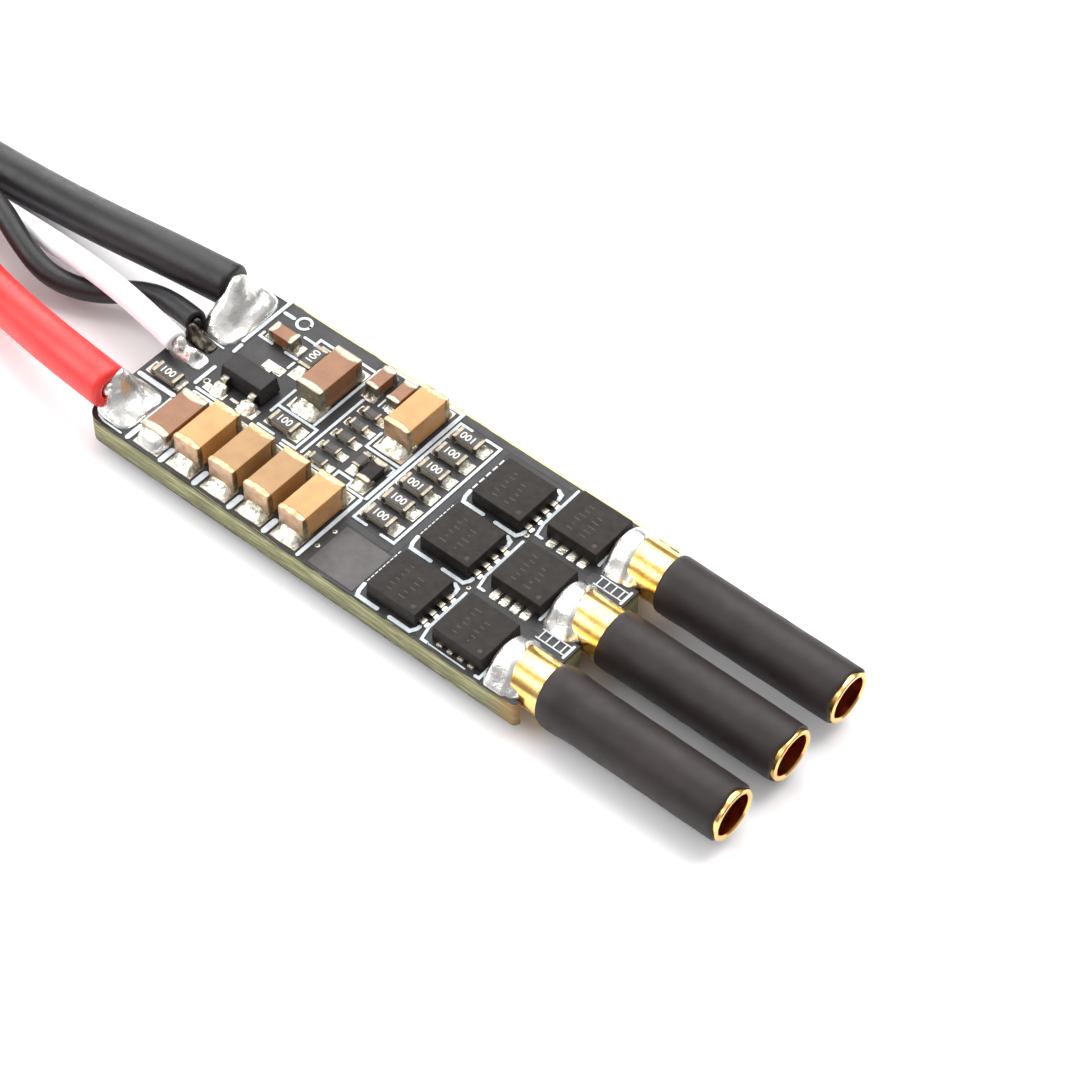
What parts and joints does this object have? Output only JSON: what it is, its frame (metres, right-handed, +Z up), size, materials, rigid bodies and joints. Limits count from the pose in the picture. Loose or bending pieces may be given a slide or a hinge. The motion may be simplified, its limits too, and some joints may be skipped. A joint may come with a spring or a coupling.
{
  "type": "electronic speed controller",
  "caption": "Bare-board brushless motor speed controller with soldered battery and signal leads and a row of sleeved gold bullet sockets for the motor.",
  "frame": {"origin": "under the middle of the board and its sockets, on the surface that the object stands on", "axes": "+X along the board from the leads to the mouths of the sockets, +Y across the board from the positive lead to the negative lead, +Z up out of the component side"},
  "size_m": [0.0982, 0.0244, 0.0048],
  "materials": {
    "board": "semi-gloss",
    "gold_plating": "polished",
    "sleeve": "satin",
    "solder": "bright",
    "package": "matte",
    "ceramic_tan": "matte",
    "ceramic_brown": "matte",
    "resistor": "satin",
    "lead_black": "satin",
    "lead_red": "satin",
    "lead_white": "satin",
    "tie": "matte",
    "tinned_copper": "bright"
  },
  "bodies": {
    "root": {"circuit_board": "board", "motor_socket_a": "gold_plating", "heat_shrink_a": "sleeve", "socket_solder_a": "solder", "high_side_transistor_a": "package", "low_side_transistor_a": "package", "motor_socket_b": "gold_plating", "heat_shrink_b": "sleeve", "socket_solder_b": "solder", "high_side_transistor_b": "package", "low_side_transistor_b": "package", "motor_socket_c": "gold_plating", "heat_shrink_c": "sleeve", "socket_solder_c": "solder", "high_side_transistor_c": "package", "low_side_transistor_c": "package", "bulk_capacitor_1": "ceramic_brown", "bulk_capacitor_2": "ceramic_tan", "bulk_capacitor_3": "ceramic_tan", "bulk_capacitor_4": "ceramic_tan", "bulk_capacitor_5": "ceramic_tan", "regulator_capacitor": "ceramic_brown", "driver_capacitor": "ceramic_tan", "bypass_capacitor_1": "ceramic_brown", "bypass_capacitor_2": "ceramic_brown", "bypass_capacitor_3": "ceramic_brown", "gate_resistor_1": "resistor", "gate_resistor_2": "resistor", "gate_resistor_3": "resistor", "gate_resistor_4": "resistor", "gate_resistor_5": "resistor", "gate_resistor_6": "resistor", "signal_resistor": "resistor", "regulator_resistor": "resistor", "filter_resistor": "resistor", "divider_resistors": "resistor", "thermistor": "resistor", "voltage_regulator": "package", "microcontroller": "package", "gate_driver": "package", "bootstrap_capacitors": "ceramic_brown", "battery_negative_solder": "solder", "battery_positive_solder": "solder", "signal_solder": "solder", "signal_ground_solder": "solder", "component_solder": "solder", "battery_negative_lead": "lead_black", "battery_positive_lead": "lead_red", "signal_lead": "lead_white", "signal_ground_lead": "lead_black", "lead_hank": "lead_black", "hank_tie": "tie", "lead_tips": "tinned_copper"}
  },
  "joints": []
}
